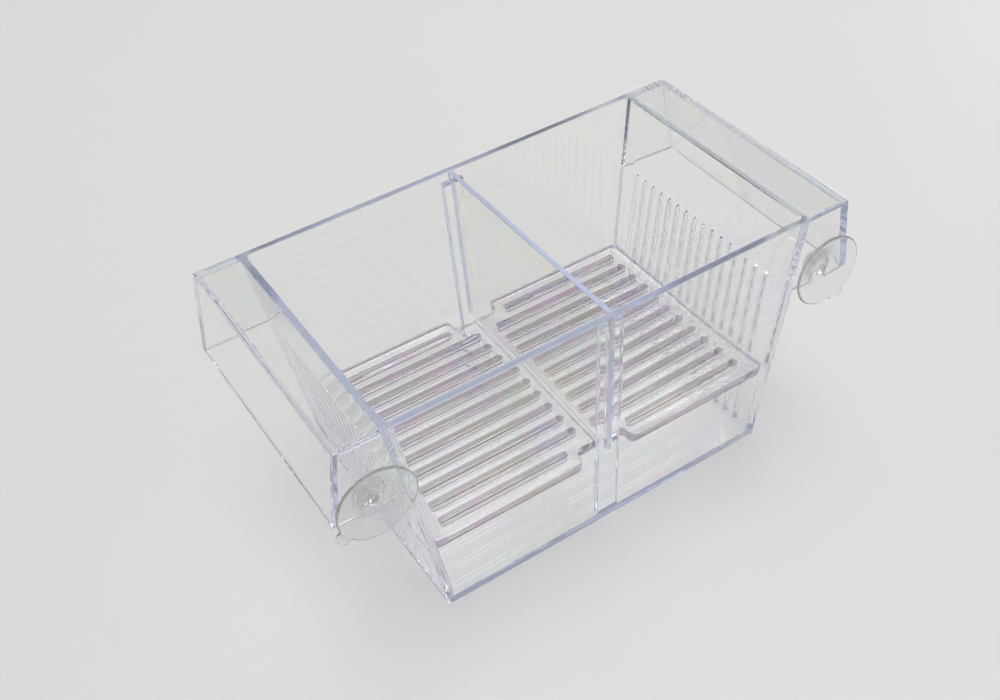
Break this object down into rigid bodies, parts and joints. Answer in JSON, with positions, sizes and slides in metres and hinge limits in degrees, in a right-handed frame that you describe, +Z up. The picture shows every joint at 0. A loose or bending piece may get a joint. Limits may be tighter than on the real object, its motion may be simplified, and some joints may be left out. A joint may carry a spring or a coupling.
{
  "type": "fish breeding box",
  "caption": "Clear floating tank with air-trap floats, slit end walls, a lift-out divider, slotted lift-out floor grids and suction cups for keeping fry apart.",
  "frame": {"origin": "centre of the tank's flat base, at the height of the surface it stands on", "axes": "+Z up, +X along the box to the right as seen from the side with the suction cups, +Y from that front side to the back"},
  "size_m": [0.2104, 0.1065, 0.101],
  "materials": {
    "tank_plastic": "clear, polished",
    "divider_plastic": "clear, polished",
    "grid_plastic": "clear, polished",
    "cup_rubber": "translucent, smooth"
  },
  "bodies": {
    "tank": {"tank_body": "tank_plastic"},
    "divider": {"divider": "divider_plastic"},
    "left_grid": {"left_floor_grid": "grid_plastic"},
    "right_grid": {"right_floor_grid": "grid_plastic"},
    "left_cup": {"left_suction_cup": "cup_rubber"},
    "right_cup": {"right_suction_cup": "cup_rubber"}
  },
  "joints": [
    {"name": "divider_lift", "type": "slide", "parent": "tank", "child": "divider", "axis": [0, 0, 1], "range_m": [0, 0.07]},
    {"name": "left_grid_lift", "type": "slide", "parent": "tank", "child": "left_grid", "axis": [0, 0, 1], "range_m": [0, 0.075]},
    {"name": "right_grid_lift", "type": "slide", "parent": "tank", "child": "right_grid", "axis": [0, 0, 1], "range_m": [0, 0.075]},
    {"name": "left_cup_turn", "type": "hinge", "parent": "tank", "child": "left_cup", "pos_m": [-0.0905, -0.05038, 0.0767], "axis": [0, -1, 0], "continuous": true},
    {"name": "right_cup_turn", "type": "hinge", "parent": "tank", "child": "right_cup", "pos_m": [0.0905, -0.05038, 0.0767], "axis": [0, -1, 0], "continuous": true}
  ]
}
